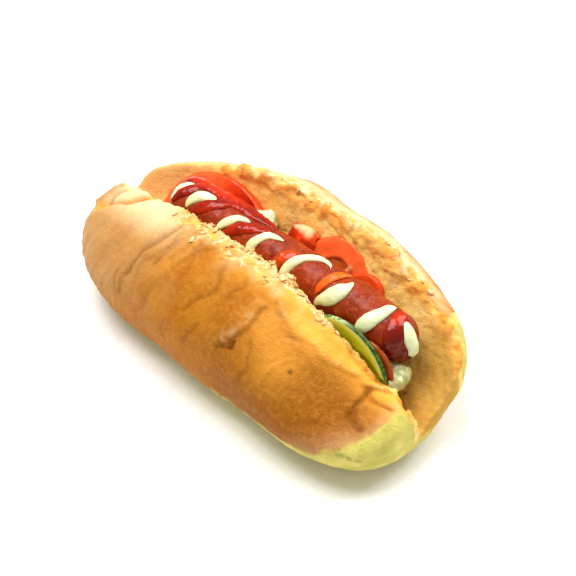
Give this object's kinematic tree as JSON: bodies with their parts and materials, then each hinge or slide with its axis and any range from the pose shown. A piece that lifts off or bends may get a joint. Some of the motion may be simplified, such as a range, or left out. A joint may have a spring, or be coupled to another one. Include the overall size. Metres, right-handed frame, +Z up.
{
  "type": "hot dog",
  "caption": "Soft bun slit along its top and opened a little, filled with a sausage, strokes of ketchup and mayonnaise, tomato slices and a cucumber slice.",
  "frame": {"origin": "middle of the bounding box on the ground, under the bun", "axes": "+X along the bun towards the end where the sausage shows, -Y towards the higher front crust, +Z up"},
  "size_m": [0.1786, 0.1004, 0.0582],
  "materials": {
    "crust": "matte",
    "sausage_skin": "satin",
    "mayonnaise": "gloss",
    "cucumber": "gloss",
    "tomato": "gloss"
  },
  "bodies": {
    "root": {"bun": "crust", "sausage_with_sauces": "sausage_skin", "mayonnaise_pool": "mayonnaise", "cucumber_slice": "cucumber", "tomato_slice_front": "tomato", "tomato_slice_far": "tomato", "tomato_slice_mid": "tomato", "tomato_slice_near": "tomato", "tomato_chunk": "tomato"}
  },
  "joints": []
}
